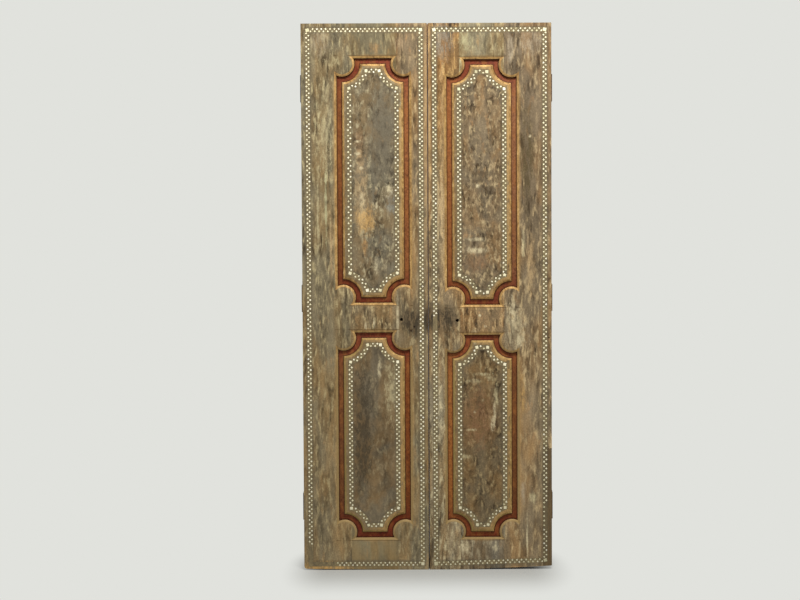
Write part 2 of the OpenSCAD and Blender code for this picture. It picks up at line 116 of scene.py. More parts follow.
class Finish:
    """The node tree of a material or of the world, with one way to put nodes into it."""

    def __init__(self, owner: bpy.types.Material | bpy.types.World) -> None:
        """Empties the tree of its owner.

        Args:
            owner: The new material, named after what the real surface is, or the world.
        """
        self.owner = owner
        owner.use_nodes = True
        self.tree = owner.node_tree
        self.tree.nodes.clear()

    def add(
        self,
        kind: str,
        inputs: dict[int | str, Any] | None = None,
        out: int | str = 0,
        stops: tuple[tuple[float, str], ...] = (),
        **settings: Any,
    ) -> Socket | None:
        """Adds one node with its settings, values and links.

        Args:
            kind: Shader node type without its common prefix.
            inputs: Socket to value, or to the output that feeds it.
            out: The output to hand back.
            stops: Places and hex colours of a colour ramp.
            settings: Properties of the node itself.

        Returns:
            The chosen output of the new node, or nothing for a node that only takes.
        """
        node = self.tree.nodes.new("ShaderNode" + kind)
        for name, value in settings.items():
            setattr(node, name, value)
        for index, (place, code) in enumerate(stops):
            ramp = node.color_ramp.elements
            stop = ramp[index] if index < 2 else ramp.new(place)
            stop.position = place
            stop.color = paint(code)
        for socket, value in (inputs or {}).items():
            if isinstance(value, Socket):
                self.tree.links.new(value, node.inputs[socket])
            else:
                node.inputs[socket].default_value = value
        return node.outputs[out] if len(node.outputs) else None

    def seen(self) -> Socket:
        """Finds the rays that show the backdrop: the camera's own, mirrored ones and those through glass.

        Returns:
            One for such a ray, nought for the light that falls on the door.
        """
        path = self.add("LightPath", out="Is Camera Ray")
        glossy = path.node.outputs["Is Glossy Ray"]
        clear = path.node.outputs["Is Transmission Ray"]
        seen = self.add("Math", {0: path, 1: glossy}, **LARGER)
        return self.add("Math", {0: seen, 1: clear}, **LARGER)


@dataclass(frozen=True)
class Carving:
    """Depths and widths of the carving, in millimetres."""

    channel_w: float = 21.0
    lobe_r: float = 47.0
    floor_d: float = 13.0
    chamfer_w: float = 9.0
    chamfer_d: float = 4.5
    field_d: float = 2.0
    bevel_d: float = 4.5
    ring_in: float = 26.0
    border_in: float = 25.0
    tongue_in: float = 9.5

    @property
    def field_r(self) -> float:
        """Radius of a field's hollow corners."""
        return self.lobe_r + self.channel_w


CARVING = Carving()


@dataclass(frozen=True)
class Opening:
    """Middle and half sizes of a raised field, in millimetres."""

    x: float
    z: float
    half_x: float
    half_z: float

    @classmethod
    def of_panel(cls, node: str) -> "Opening":
        """Reads a field from the box of its panel, whose tongue reaches past the channel.

        Args:
            node: Name of the panel's node.

        Returns:
            The field of that panel.
        """
        low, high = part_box(node)
        margin = CARVING.channel_w + CARVING.tongue_in
        return cls(
            x=(low.x + high.x) / 2 / MM,
            z=(low.z + high.z) / 2 / MM,
            half_x=(high.x - low.x) / 2 / MM - margin,
            half_z=(high.z - low.z) / 2 / MM - margin,
        )


@dataclass(frozen=True)
class Wear:
    """A worn or stained spot: middle and reach in millimetres, its colour, strength and ragged edge."""

    x: float
    z: float
    reach_x: float
    reach_z: float
    tone: str
    strength: float = 0.7
    ragged: float = 1.2


TAN = "AD9168"
ORANGE_TAN = "AE8655"
GOLDEN_TAN = "BF9659"
CREAM = "CFC09A"
PALE = "BEB189"
PALE_GREEN = "B7B38A"
UMBER = "4A3C2B"
CHARCOAL = "3B3327"
BLUE_GREY = "7A7D76"
RED_BROWN = "7C5A3E"
NAIL = "24170E"
SOUND_PAINT = "6A6150"
DULL_BROWN = "54472F"
DULL_TAN = "9C8466"
LILAC_GREY = "A89A82"
# Spots with a smoother edge than this are one solid mark, such as a nail
SOLID_SPOT = 0.5

WEARS: tuple[Wear, ...] = (
    # Broad stretches where the paint has held, thinned or darkened
    Wear(-168, 1665, 58, 215, SOUND_PAINT, 0.85, 0.6),
    Wear(-383, 1645, 30, 165, PALE, 0.45, 2.2),
    Wear(377, 1560, 28, 230, DULL_BROWN, 0.9, 0.9),
    Wear(-95, 1972, 36, 30, DULL_TAN, 0.5),
    Wear(314, 1957, 14, 62, LILAC_GREY, 0.7, 1.0),
    # Upper panel of the left leaf: bared wood with cracks
    Wear(-250, 1610, 22, 60, RED_BROWN, 0.5, 1.6),
    Wear(-246, 1470, 26, 170, TAN, 0.6, 1.3),
    Wear(-240, 1352, 17, 72, CREAM, 0.65, 1.4),
    Wear(-256, 1612, 14, 6, CREAM, 0.8, 1.0),
    Wear(-252, 1590, 17, 8, UMBER, 0.75, 1.4),
    Wear(-258, 1566, 12, 6, CREAM, 0.75, 1.0),
    Wear(-250, 1543, 15, 9, UMBER, 0.75, 1.4),
    Wear(-244, 1512, 10, 7, CREAM, 0.7, 1.0),
    Wear(-230, 1322, 38, 60, GOLDEN_TAN, 0.75),
    Wear(-232, 1216, 10, 36, ORANGE_TAN, 0.8),
    Wear(-143, 1426, 20, 24, CREAM, 0.7, 2.4),
    Wear(-132, 1379, 22, 47, BLUE_GREY, 0.6),
    Wear(-187, 1374, 6, 14, CREAM, 0.8, 0.7),
    Wear(-187, 1143, 13, 38, CREAM, 0.6),
    # Upper panel of the right leaf and the stile beside it: scratches across
    Wear(206, 1490, 55, 9, UMBER, 0.7, 2.2),
    Wear(184, 1462, 44, 8, UMBER, 0.7, 2.2),
    Wear(222, 1436, 46, 9, UMBER, 0.7, 2.2),
    Wear(192, 1443, 8, 9, CREAM, 0.8, 1.6),
    Wear(184, 1203, 50, 12, CREAM, 0.75),
    Wear(186, 1244, 44, 7, CREAM, 0.6),
    Wear(387, 1629, 6, 7, CREAM, 0.8, 0.8),
    Wear(362, 1225, 8, 60, PALE, 0.6, 1.4),
    Wear(186, 1154, 53, 38, RED_BROWN, 0.55),
    # Tops of the stiles and rails
    Wear(60, 1985, 44, 80, BLUE_GREY, 0.6, 0.9),
    Wear(46, 1340, 34, 190, CREAM, 0.35, 1.8),
    Wear(-191, 1956, 22, 22, ORANGE_TAN, 0.5, 1.4),
    Wear(146, 1983, 24, 34, PALE_GREEN, 0.45, 2.2),
    Wear(390, 1978, 48, 52, LILAC_GREY, 0.5, 1.6),
    Wear(-400, 1985, 40, 60, LILAC_GREY, 0.4, 1.8),
    # Runs down the left outer stile
    Wear(-407, 1312, 6, 200, PALE, 0.65),
    Wear(-377, 1387, 5, 150, PALE_GREEN, 0.65),
    Wear(-358, 1199, 7, 180, TAN),
    # Stains of hands round the pull holes
    Wear(-52, 938, 66, 64, CHARCOAL, 0.95, 0.9),
    Wear(66, 944, 70, 66, CHARCOAL, 0.95, 1.0),
    Wear(8, 950, 40, 62, CHARCOAL, 0.9, 0.6),
    # Rubbed spots in the lower half of the right leaf
    Wear(52, 607, 14, 110, CREAM, 0.55, 2.2),
    Wear(358, 650, 12, 80, GOLDEN_TAN),
    Wear(180, 712, 34, 9, PALE, 0.6, 1.6),
    Wear(140, 428, 26, 8, PALE, 0.5, 1.6),
    # Nails and their holes
    Wear(-48, 918, 4.5, 4.5, NAIL, 0.95, 0.3),
    Wear(-60, 903, 5, 5, NAIL, 0.9, 0.3),
    Wear(457, 875, 4, 4, NAIL, 0.9, 0.3),
    # Lock rails and their lobes
    Wear(-111, 961, 6, 80, CREAM, 0.75, 0.8),
    Wear(-230, 919, 6, 17, CREAM, 0.7, 0.7),
    Wear(-199, 930, 4, 24, CREAM, 0.7, 0.7),
    Wear(197, 959, 6, 6, CREAM, 0.8, 0.6),
    Wear(219, 918, 6, 6, CREAM, 0.8, 0.6),
    Wear(331, 911, 38, 84, CREAM, 0.5, 1.8),
    # Lower panels
    Wear(-242, 525, 45, 280, CHARCOAL, 0.8, 1.3),
    Wear(-137, 693, 22, 130, PALE, 0.6, 1.5),
    Wear(-180, 752, 7, 40, CREAM, 0.6),
    Wear(192, 580, 64, 130, RED_BROWN, 0.7, 1.4),
    Wear(258, 650, 9, 45, PALE, 0.6, 2.0),
    Wear(252, 590, 6, 45, CREAM, 0.7, 1.4),
    Wear(244, 548, 7, 28, CREAM, 0.7, 1.4),
    Wear(208, 640, 6, 7, CREAM, 0.7, 0.9),
    Wear(178, 596, 5, 6, CREAM, 0.6, 0.9),
    Wear(166, 528, 20, 6, PALE, 0.6, 1.6),
    Wear(212, 738, 40, 7, PALE, 0.6, 1.8),
    Wear(236, 722, 22, 10, PALE, 0.5, 2.0),
    # Lobes of the right lock rail
    Wear(172, 880, 18, 34, CREAM, 0.6, 2.0),
    Wear(321, 980, 10, 50, CREAM, 0.7, 1.6),
    Wear(345, 860, 16, 26, CREAM, 0.7, 1.6),
    # Foot of the right leaf
    Wear(141, 86, 24, 32, CREAM, 0.75, 1.8),
    Wear(254, 84, 11, 22, CREAM, 0.7, 1.4),
    Wear(398, 272, 18, 22, PALE, 0.75, 1.6),
    Wear(360, 290, 13, 40, LILAC_GREY, 0.6),
    Wear(374, 131, 4, 94, CREAM, 0.7, 0.8),
    # Long rubbed strips beside the seam and on the right outer stile
    Wear(-4, 1550, 8, 520, TAN, 0.7, 1.0),
    Wear(9, 1680, 9, 420, TAN, 0.85, 0.6),
    Wear(58, 1462, 13, 500, TAN, 0.55, 1.5),
    Wear(389, 1162, 19, 112, TAN),
    # Bare foot of the left leaf
    Wear(-390, 2, 110, 34, GOLDEN_TAN, 0.8, 0.8),
)


@dataclass(frozen=True)
class BoardTone:
    """One board's tints at top and foot, lacquer at left and right, warmth, rubbing and seed of marks."""

    tint: str
    foot: str
    lacquer: tuple[str, str]
    warmth: float
    rubbed: float
    seed: float


@dataclass
class PaintedBoard:
    """Old paint over wood, with gilded chamfers and a lacquered channel, masked by the carving's shape.

    Lengths are in millimetres. The skin, with its masks and marks, comes with material().
    """

    node: str
    kind: Kind
    tone: BoardTone
    lower: Opening
    upper: Opening
    front: float
    leaf_x: float
    leaf_half: float
    leaf_top: float
    skin: Finish = field(init=False)
    masks: Sockets = field(init=False)
    marks: Sockets = field(init=False)

    def find_masks(self) -> Sockets:
        """Works out depth and distance from the carved edges.

        Returns:
            Named outputs that the layers read.
        """
        add = self.skin.add
        coords = add("TexCoord", out="Object")
        place = add("VectorMath", {0: coords, "Scale": 1.0 / MM}, operation="SCALE")
        x = add("SeparateXYZ", {0: place})
        y, z = x.node.outputs[1], x.node.outputs[2]
        depth = add("Math", {0: y, 1: self.front}, **MINUS)
        split = (self.lower.z + self.lower.half_z + self.upper.z - self.upper.half_z) / 2
        is_upper = add("Math", {0: z, 1: split}, operation="GREATER_THAN")
        rise = self.upper.z - self.lower.z
        grow = self.upper.half_z - self.lower.half_z
        mid_z = add("Math", {0: is_upper, 1: rise, 2: self.lower.z}, **TIMES_PLUS)
        half_z = add("Math", {0: is_upper, 1: grow, 2: self.lower.half_z}, **TIMES_PLUS)
        off_x = add("Math", {0: x, 1: self.lower.x}, **MINUS)
        off_z = add("Math", {0: z, 1: mid_z}, **MINUS)
        abs_x = add("Math", {0: off_x}, **UNSIGNED)
        abs_z = add("Math", {0: off_z}, **UNSIGNED)
        q_x = add("Math", {0: abs_x, 1: self.lower.half_x}, **MINUS)
        q_z = add("Math", {0: abs_z, 1: half_z}, **MINUS)
        corner = add("CombineXYZ", {0: q_x, 1: q_z})
        reach = add("VectorMath", {0: corner}, **LENGTH)
        box = add("Math", {0: q_x, 1: q_z}, **LARGER)
        lobe = add("Math", {0: CARVING.lobe_r, 1: reach}, **MINUS)
        hollow = add("Math", {0: CARVING.field_r, 1: reach}, **MINUS)
        rim = add("Math", {0: box, 1: CARVING.channel_w}, **MINUS)
        wall = add("Math", {0: rim, 1: lobe}, **LARGER)
        raised = add("Math", {0: box, 1: hollow}, **LARGER)
        level = add("Math", {0: q_z, 1: q_x}, operation="GREATER_THAN")
        straight = add("Math", {0: rim, 1: lobe}, operation="GREATER_THAN")
        level = add("Math", {0: level, 1: straight}, **TIMES)
        leaf_off = add("Math", {0: x, 1: self.leaf_x}, **MINUS)
        leaf_abs = add("Math", {0: leaf_off}, **UNSIGNED)
        from_side = add("Math", {0: self.leaf_half, 1: leaf_abs}, **MINUS)
        from_top = add("Math", {0: self.leaf_top, 1: z}, **MINUS)
        from_end = add("Math", {0: from_top, 1: z}, operation="MINIMUM")
        from_edge = add("Math", {0: from_side, 1: from_end}, operation="MINIMUM")
        return {
            "place": place, "x": x, "z": z, "depth": depth,
            "wall": wall, "lobe": lobe, "raised": raised, "level": level, "end": q_z,
            "from_side": from_side, "from_edge": from_edge,
        }

    def noise(
        self, size: tuple[float, float, float], detail: float, rough: float, twist: float = 0.0,
        own: bool = True,
    ) -> Socket:
        """Lays marks of a given size over the board.

        Args:
            size: Length of a mark along X, Y and Z.
            detail: Number of finer layers.
            rough: Share of the finer layers.
            twist: How far the marks bend.
            own: Whether the marks are this board's own, or run on over the joints.

        Returns:
            The marks, from nought to one.
        """
        scale = (1.0 / size[0], 1.0 / size[1], 1.0 / size[2])
        seed = self.tone.seed if own else 0.0
        shift = (seed * 7.3, seed * 3.1, seed * 5.7)
        add, place = self.skin.add, self.masks["place"]
        where = add("Mapping", {"Vector": place, "Location": shift, "Scale": scale})
        return add(
            "TexNoise",
            {"Vector": where, "Scale": 1.0, "Detail": detail, "Roughness": rough, "Distortion": twist},
        )

    def lay_marks(self) -> Sockets:
        """Lays the marks that the layers of paint share.

        Returns:
            Marks by name, from the broadest to the finest.
        """
        # Drips and rubbing run down the frame, and hardly have a direction on the panels
        along = 2.0 if self.kind is Kind.PANEL else 4.0
        return {
            "drift": self.noise((80, 300, 70 * along), 3, 0.5, 0.4),
            "hold": self.noise((45, 300, 40 * along), 3, 0.5, 0.4),
            "peel": self.noise((20, 200, 20 * along), 4, 0.6, 0.3),
            "shade": self.noise((16, 200, 16 * along), 4, 0.58, 0.3),
            "smear": self.noise((12, 200, 12 * along), 4, 0.58, 0.3),
            "streak": self.noise((5, 200, 22 * along), 3, 0.6, 0.2),
            "fleck": self.noise((6, 50, 14), 3, 0.7, 0.4),
            "mottle": self.noise((9, 9, 11), 4, 0.72, 0.3),
            "grain": self.noise((5, 5, 6), 2, 0.6, 0.2),
            "fine": self.noise((2.4, 2.4, 30), 3, 0.6),
        }

    def wears(self) -> list[Wear]:
        """Picks the worn spots that lie on this board.

        Returns:
            Those spots, in the order of the list.
        """
        low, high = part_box(self.node)
        return [
            w for w in WEARS
            if low.x / MM - w.reach_x < w.x < high.x / MM + w.reach_x
            and low.z / MM - w.reach_z < w.z < high.z / MM + w.reach_z
        ]

    def ground(self) -> Socket:
        """Lays the rubbed paint of a board: cool and warm ground, pale and dark smears, peels and flecks.

        Returns:
            The colour of the paint.
        """
        add, marks, height = self.skin.add, self.marks, self.masks["z"]
        # Olive-grey paint over brown wood: cool where the paint holds, warm where it has thinned
        cool = add("MapRange", {0: marks["drift"], 1: 0.38, 2: 0.62}, **EASED)
        colour = add("Mix", {0: cool, 6: paint("8E795B"), 7: paint("817867")}, **COLOURS)
        # Smears, peels and flecks show where the paint is rubbed, and hardly at all where it holds
        rubbed = add("MapRange", {0: marks["hold"], 1: 0.62, 2: 0.47, 3: 0.3}, **EASED)
        # Toward the foot the paint is rubbed less
        share = self.tone.rubbed
        above = add("MapRange", {0: height, 1: 300.0, 2: 1100.0, 3: 0.65 * share, 4: share})
        rubbed = add("Math", {0: rubbed, 1: above}, **TIMES)
        dark = add("MapRange", {0: marks["shade"], 1: 0.55, 2: 0.31, 4: 0.85}, **EASED)
        dark = add("Math", {0: dark, 1: rubbed}, **TIMES)
        colour = add("Mix", {0: dark, 6: colour, 7: paint("463B2D")}, **COLOURS)
        pale = add("MapRange", {0: marks["smear"], 1: 0.46, 2: 0.72, 4: 0.95}, **EASED)
        pale = add("Math", {0: pale, 1: rubbed}, **TIMES)
        colour = add("Mix", {0: pale, 6: colour, 7: paint("CDBF9D")}, **COLOURS)
        starts = 0.62 - 0.1 * self.tone.warmth
        share = 0.2 + 0.45 * self.tone.warmth
        warm = add("MapRange", {0: marks["peel"], 1: starts, 2: 0.70, 4: share}, **EASED)
        colour = add("Mix", {0: warm, 6: colour, 7: paint("AE8F69")}, **COLOURS)
        light = add("MapRange", {0: marks["streak"], 1: 0.3, 2: 0.7, 3: 0.1, 4: 0.35})
        light = add("Math", {0: marks["mottle"], 1: 0.7, 2: light}, **TIMES_PLUS)
        light = add("Math", {0: marks["hold"], 1: 1.6, 2: light}, **TIMES_PLUS)
        colour = add("VectorMath", {0: colour, "Scale": light}, operation="SCALE")
        flecks = add("MapRange", {0: marks["fleck"], 1: 0.62, 2: 0.74, 4: 0.7}, **EASED)
        flecks = add("Math", {0: flecks, 1: rubbed}, **TIMES)
        colour = add("Mix", {0: flecks, 6: colour, 7: paint("D0C4A2")}, **COLOURS)
        low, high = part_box(self.node)
        quarter = (high.z - low.z) / 4
        rise = add("MapRange", {0: height, 1: (low.z + quarter) / MM, 2: (high.z - quarter) / MM})
        tint = add("Mix", {0: rise, 6: paint(self.tone.foot), 7: paint(self.tone.tint)}, **COLOURS)
        return add("Mix", {0: 1.0, 6: colour, 7: tint}, blend_type="MULTIPLY", **COLOURS)

    def spots(self, colour: Socket) -> Socket:
        """Adds the worn and stained spots that lie on this board.

        Args:
            colour: The paint so far.

        Returns:
            The paint with its spots.
        """
        add, marks, place = self.skin.add, self.marks, self.masks["place"]
        ragged = self.noise((10, 60, 22), 5, 0.78, 0.6, own=False)
        broken = add("MapRange", {0: marks["smear"], 1: 0.38, 2: 0.56, 3: 0.3}, **EASED)
        for spot in self.wears():
            away = add("VectorMath", {0: place, 1: (spot.x, 0.0, spot.z)}, **MINUS)
            shrink = (1 / spot.reach_x, 0.0, 1 / spot.reach_z)
            away = add("VectorMath", {0: away, 1: shrink}, **TIMES)
            reach = add("VectorMath", {0: away}, **LENGTH)
            reach = add("Math", {0: ragged, 1: 2 * spot.ragged, 2: reach}, **TIMES_PLUS)
            mask = add(
                "MapRange", {0: reach, 1: 1.25 + spot.ragged, 2: 0.3 + spot.ragged, 4: spot.strength}, **EASED
            )
            if spot.ragged > SOLID_SPOT:
                mask = add("Math", {0: mask, 1: broken}, **TIMES)
            colour = add("Mix", {0: mask, 6: colour, 7: paint(spot.tone)}, **COLOURS)
        # Dust in the pores breaks up paint and stains alike
        share = 0.18 * self.tone.rubbed
        dust = add("MapRange", {0: marks["grain"], 1: 0.3, 2: 0.7, 3: 1.0 - share, 4: 1.0 + share})
        return add("VectorMath", {0: colour, "Scale": dust}, operation="SCALE")

    def grime(self, colour: Socket) -> Socket:
        """Lets grime gather round the shell bands, rubs the edges and spreads the gold size.

        Args:
            colour: The paint so far.

        Returns:
            The paint with its grime.
        """
        add, masks, marks = self.skin.add, self.masks, self.marks
        if self.kind is Kind.PANEL:
            band = add("Math", {0: masks["raised"], 1: CARVING.ring_in}, operation="ADD")
            spill = add("MapRange", {0: masks["raised"], 1: -24.0, 2: -14.0}, **EASED)
            # The size has crept mostly toward the right
            middle = self.upper.x
            side = add("MapRange", {0: masks["x"], 1: middle - 40.0, 2: middle + 40.0, 3: 0.3})
            spill = add("Math", {0: spill, 1: side}, **TIMES)
        else:
            band = add("Math", {0: masks["from_edge"], 1: CARVING.border_in}, **MINUS)
            spill = add("MapRange", {0: masks["wall"], 1: 19.0, 2: 7.0, 4: 0.6}, **EASED)
            clear = add("MapRange", {0: masks["lobe"], 1: -8.0, 2: -50.0}, **EASED)
            spill = add("Math", {0: spill, 1: clear}, **TIMES)
        band = add("Math", {0: band}, **UNSIGNED)
        near = add("MapRange", {0: band, 1: 17.0, 2: 8.0}, **EASED)
        near = add("Math", {0: near, 1: marks["mottle"]}, **TIMES)
        colour = add("Mix", {0: near, 6: colour, 7: paint("5A5242")}, **COLOURS)
        rub = add("Attribute", out="Fac", attribute_name="rub")
        rub = add("Math", {0: rub, 1: marks["peel"]}, **TIMES)
        rub = add("MapRange", {0: rub, 1: 0.45, 2: 0.75, 4: 0.6}, **EASED)
        colour = add("Mix", {0: rub, 6: colour, 7: paint("A89068")}, **COLOURS)
        patchy = add("MapRange", {0: marks["peel"], 1: 0.3, 2: 0.55, 3: 0.1, 4: 0.85}, **EASED)
        spill = add("Math", {0: spill, 1: patchy}, **TIMES)
        return add("Mix", {0: spill, 6: colour, 7: paint("AA8856")}, **COLOURS)

    def gilding(self, colour: Socket, gold: Socket) -> Socket:
        """Gilds the slopes, worn to the brown ground in patches and duller toward the foot; on a panel,
        painted shade makes the left slopes, which face away from the light, duller and darker than the right.

        Args:
            colour: The paint so far.
            gold: Mask of the slopes.

        Returns:
            The paint with its gilding.
        """
        add, masks, marks = self.skin.add, self.masks, self.marks
        if self.kind is Kind.FRAME:
            # Painted shade: a dark stroke just outside the level chamfers stands for the shade in a cut
            # groove that is not modelled
            cut_groove_shade = add("Math", {0: masks["wall"], 1: CARVING.chamfer_w + 1.4}, **MINUS)
            cut_groove_shade = add("Math", {0: cut_groove_shade}, **UNSIGNED)
            cut_groove_shade = add("MapRange", {0: cut_groove_shade, 1: 2.0, 2: 0.8, 4: 0.6}, **EASED)
            cut_groove_shade = add("Math", {0: cut_groove_shade, 1: masks["level"]}, **TIMES)
            colour = add("Mix", {0: cut_groove_shade, 6: colour, 7: paint("4A3418")}, **COLOURS)
        tone = add("Math", {0: marks["mottle"], 1: marks["smear"]}, operation="ADD")
        tone = add("MapRange", {0: tone, 1: 0.66, 2: 1.34})
        gilt = add(
            "ValToRGB", {0: tone},
            stops=((0.0, "6A4C2C"), (1.0, "DCBA80"), (0.35, "987345"), (0.65, "BC9459")),
        )
        worn_and_side_shade = add("MapRange", {0: masks["z"], 1: 1000.0, 2: 700.0, 3: 0.2, 4: 0.85})
        # Painted shade: a panel's left slopes face away from the light, so they are mixed further toward the
        # dark tarnish than its right slopes
        if self.kind is Kind.PANEL:
            middle = self.upper.x
            side = add("MapRange", {0: masks["x"], 1: middle + 50.0, 2: middle - 50.0, 3: 0.5})
            worn_and_side_shade = add("Math", {0: worn_and_side_shade, 1: side}, **TIMES)
        tarnish = "857445" if self.kind is Kind.PANEL else "8E7850"
        gilt = add("Mix", {0: worn_and_side_shade, 6: gilt, 7: paint(tarnish)}, **COLOURS)
        return add("Mix", {0: gold, 6: colour, 7: gilt}, **COLOURS)

    def lacquer(self, colour: Socket, red: Socket) -> Socket:
        """Lacquers the channel red, thin on its floor so that orange wood shows, with painted shade near its
        walls and darker red runs at its top and bottom.

        Args:
            colour: The paint so far.
            red: Mask of the channel.

        Returns:
            The paint with its lacquer.
        """
        add, masks, marks = self.skin.add, self.masks, self.marks
        rich = add("MapRange", {0: marks["mottle"], 1: 0.2, 2: 0.7})
        middle = self.upper.x
        side = add("MapRange", {0: masks["x"], 1: middle - 60.0, 2: middle + 60.0}, **EASED)
        left, right = (paint(code) for code in self.tone.lacquer)
        coat = add("Mix", {0: side, 6: left, 7: right}, **COLOURS)
        # The channel's top and bottom runs are mixed to a darker, deeper red: partly the lacquer's own red,
        # partly painted shade where the walls shade the floor
        deep_red_and_end_shade = add("MapRange", {0: masks["end"], 1: -150.0, 2: -10.0, 4: 0.75}, **EASED)
        coat = add("Mix", {0: deep_red_and_end_shade, 6: coat, 7: paint("7E2A1F")}, **COLOURS)
        coat = add("Mix", {0: rich, 6: paint("4A2412"), 7: coat}, **COLOURS)
        thin = add("MapRange", {0: marks["peel"], 1: 0.44, 2: 0.68, 4: 0.5}, **EASED)
        coat = add("Mix", {0: thin, 6: coat, 7: paint("98602F")}, **COLOURS)
        chips = add("MapRange", {0: marks["fleck"], 1: 0.40, 2: 0.30, 4: 0.6}, **EASED)
        # Painted shade: the channel darkens toward both walls, where they shade its floor; the dark chips
        # mixed in with it are real
        corner = add("Math", {0: masks["raised"], 1: CARVING.channel_w / 2}, **MINUS)
        corner = add("Math", {0: corner}, **UNSIGNED)
        corner = add("MapRange", {0: corner, 1: 4.5, 2: 10.0, 4: 0.75}, **EASED)
        chips_and_corner_shade = add("Math", {0: chips, 1: corner}, **LARGER)
        coat = add("Mix", {0: chips_and_corner_shade, 6: coat, 7: paint("3A2012")}, **COLOURS)
        return add("Mix", {0: red, 6: colour, 7: coat}, **COLOURS)

    def bare(self, colour: Socket) -> Socket:
        """Leaves the edges and the back bare, brown and dry.

        Args:
            colour: The paint so far.

        Returns:
            The colour of the whole board.
        """
        add, masks, marks = self.skin.add, self.masks, self.marks
        grain = add("Math", {0: marks["streak"], 1: marks["fine"]}, operation="ADD")
        grain = add("MapRange", {0: grain, 1: 0.7, 2: 1.3})
        wood = add(
            "ValToRGB", {0: grain}, stops=((0.0, "3E2D1C"), (1.0, "947353"), (0.5, "6B4F34"))
        )
        if self.kind is Kind.FRAME and "meeting" in self.node:
            # Painted light: the meeting edge, deep in the narrow seam, is made pale wood so that the seam
            # shows lit instead of in its shade
            rubbed = add("MapRange", {0: masks["from_side"], 1: 3.2, 2: 2.4}, **EASED)
            inside = add("MapRange", {0: masks["depth"], 1: 38.0, 2: 34.0}, **EASED)
            rubbed = add("Math", {0: rubbed, 1: inside}, **TIMES)
            wood = add("Mix", {0: rubbed, 6: wood, 7: paint("CDAA7C")}, **COLOURS)
        floor = CARVING.floor_d
        where = add("MapRange", {0: masks["depth"], 1: floor + 0.5, 2: floor + 1.0}, **EASED)
        if self.kind is Kind.FRAME:
            outside = add("MapRange", {0: masks["wall"], 1: 11.0, 2: 13.0}, **EASED)
            deep = add("MapRange", {0: masks["depth"], 1: 3.5, 2: 7.0}, **EASED)
            edge = add("Math", {0: outside, 1: deep}, **TIMES)
            where = add("Math", {0: where, 1: edge}, **LARGER)
        return add("Mix", {0: where, 6: colour, 7: wood}, **COLOURS)

    def carved_masks(self) -> tuple[Socket, Socket]:
        """Finds the gilded slopes and the lacquered channel from the depth behind the face.

        Returns:
            The masks of the gilding and of the lacquer.
        """
        add, masks, depth = self.skin.add, self.masks, self.masks["depth"]
        if self.kind is Kind.FRAME:
            starts, ends = 0.0, CARVING.chamfer_d
            inside = add("MapRange", {0: masks["wall"], 1: 13.0, 2: 10.0}, **EASED)
        else:
            starts, ends = CARVING.field_d, CARVING.field_d + CARVING.bevel_d
            inside = add("MapRange", {0: masks["raised"], 1: -11.0, 2: -9.0}, **EASED)
        sloped = add("MapRange", {0: depth, 1: starts + 0.2, 2: starts + 0.7}, **EASED)
        low = add("MapRange", {0: depth, 1: ends - 0.1, 2: ends + 0.4}, **EASED)
        high = add("MapRange", {0: depth, 1: ends + 0.4, 2: ends - 0.1}, **EASED)
        floor = CARVING.floor_d
        above = add("MapRange", {0: depth, 1: floor + 1.0, 2: floor + 0.5}, **EASED)
        gold = add("Math", {0: sloped, 1: high}, **TIMES)
        gold = add("Math", {0: gold, 1: inside}, **TIMES)
        red = add("Math", {0: low, 1: inside}, **TIMES)
        red = add("Math", {0: red, 1: above}, **TIMES)
        return gold, red

    def worn_edges(self, bm: bmesh.types.BMesh) -> list[bmesh.types.BMEdge]:
        """Picks the edges that hands and weather reach: all but the joints and inlay grooves in the face.

        Args:
            bm: The board, in metres.

        Returns:
            The edges to round.
        """
        face = self.front + (CARVING.field_d if self.kind is Kind.PANEL else 0.0)
        picked = []
        for edge in sharp_edges(bm, WORN_ANGLE):
            places = [v.co / MM for v in edge.verts]
            in_face = all(abs(place.y - face) < 0.05 for place in places)
            square = min(abs(f.normal.y) for f in edge.link_faces) < 0.01
            rim = all(
                self.leaf_half - abs(place.x - self.leaf_x) < RIM
                or min(place.z, self.leaf_top - place.z) < RIM
                for place in places
            )
            if not in_face or not square or rim:
                picked.append(edge)
        return picked

    def material(self) -> bpy.types.Material:
        """Builds the board's layered finish.

        Returns:
            The finished material.
        """
        skin = self.skin = Finish(bpy.data.materials.new(f"worn painted wood {self.node}"))
        add = skin.add
        self.masks = self.find_masks()
        marks = self.marks = self.lay_marks()
        gold, red = self.carved_masks()
        colour = self.grime(self.ground())
        colour = self.spots(colour)
        colour = self.gilding(colour, gold)
        colour = self.lacquer(colour, red)
        colour = self.bare(colour)
        rough = add("MapRange", {0: marks["mottle"], 3: 0.6, 4: 0.88})
        rough = add("Math", {0: gold, 1: -0.2, 2: rough}, **TIMES_PLUS)
        rough = add("Math", {0: red, 1: -0.12, 2: rough}, **TIMES_PLUS)
        height = add("Math", {0: marks["streak"], 1: marks["fine"]}, operation="ADD")
        height = add("Math", {0: height, 1: marks["mottle"]}, operation="ADD")
        normal = add("Bump", {"Height": height, "Strength": 0.5, "Distance": 0.45 * MM})
        metal = add("Math", {0: gold, 1: 0.2}, **TIMES)
        shader = add(
            "BsdfPrincipled",
            {"Base Color": colour, "Roughness": rough, "Metallic": metal, "Normal": normal,
             "Specular IOR Level": 0.12},
        )
        add("OutputMaterial", {"Surface": shader})
        return skin.owner


